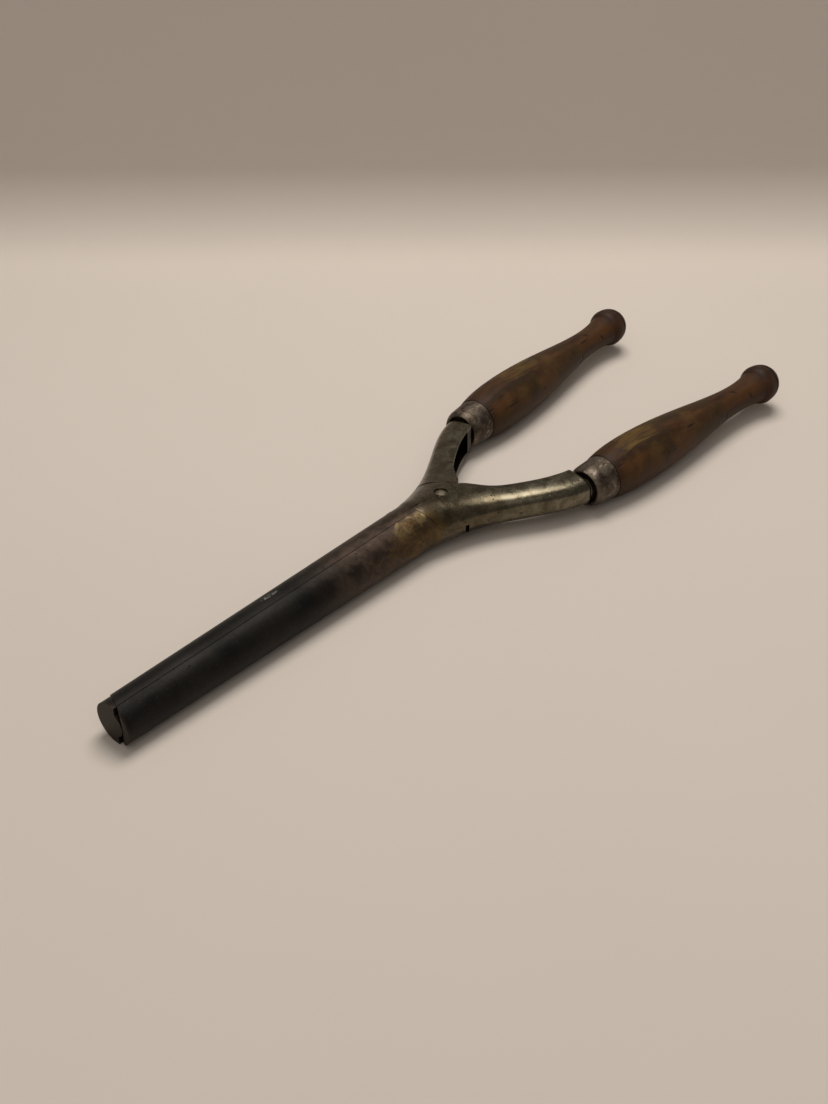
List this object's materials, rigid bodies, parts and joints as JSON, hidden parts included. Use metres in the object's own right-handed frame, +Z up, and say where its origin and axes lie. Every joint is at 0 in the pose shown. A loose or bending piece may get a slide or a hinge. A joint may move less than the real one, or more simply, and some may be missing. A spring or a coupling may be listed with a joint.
{
  "type": "hair curling tongs",
  "caption": "Antique hair curling tongs: round rod and grooved shell jaws, crossed cast arms on one rivet, and turned wooden handles with steel ferrules.",
  "frame": {"origin": "under the middle of the closed tongs, on the surface they lie on", "axes": "+X along the tongs from the jaws' tip towards the handles, +Y towards the left handle, +Z up, parallel to the hinge pin"},
  "size_m": [0.2992, 0.089, 0.0199],
  "materials": {
    "blackened_steel": "heat-blackened, satin, brown towards the joint",
    "worn_nickel": "worn nickel plate, dull and yellowed, with pits and rust",
    "ferrule_nickel": "dull nickel with brown stains",
    "bare_steel": "bare steel, darkened by age",
    "dark_wood": "turned hardwood, dark worn varnish"
  },
  "bodies": {
    "rod_lever": {"curling_rod": "blackened_steel", "right_arm": "worn_nickel", "rod_rivets": "blackened_steel", "pivot_rivet": "worn_nickel", "right_tang": "bare_steel", "right_ferrule": "ferrule_nickel", "right_handle": "dark_wood", "right_tang_burr": "bare_steel"},
    "shell_lever": {"curling_shell": "blackened_steel", "left_arm": "worn_nickel", "shell_rivets": "blackened_steel", "left_tang": "bare_steel", "left_ferrule": "ferrule_nickel", "left_handle": "dark_wood", "left_tang_burr": "bare_steel"}
  },
  "joints": [
    {"name": "hinge", "type": "hinge", "parent": "rod_lever", "child": "shell_lever", "pos_m": [-0.00705, 0, 0.00995], "axis": [0, 0, 1], "range_deg": [0, 6]}
  ]
}
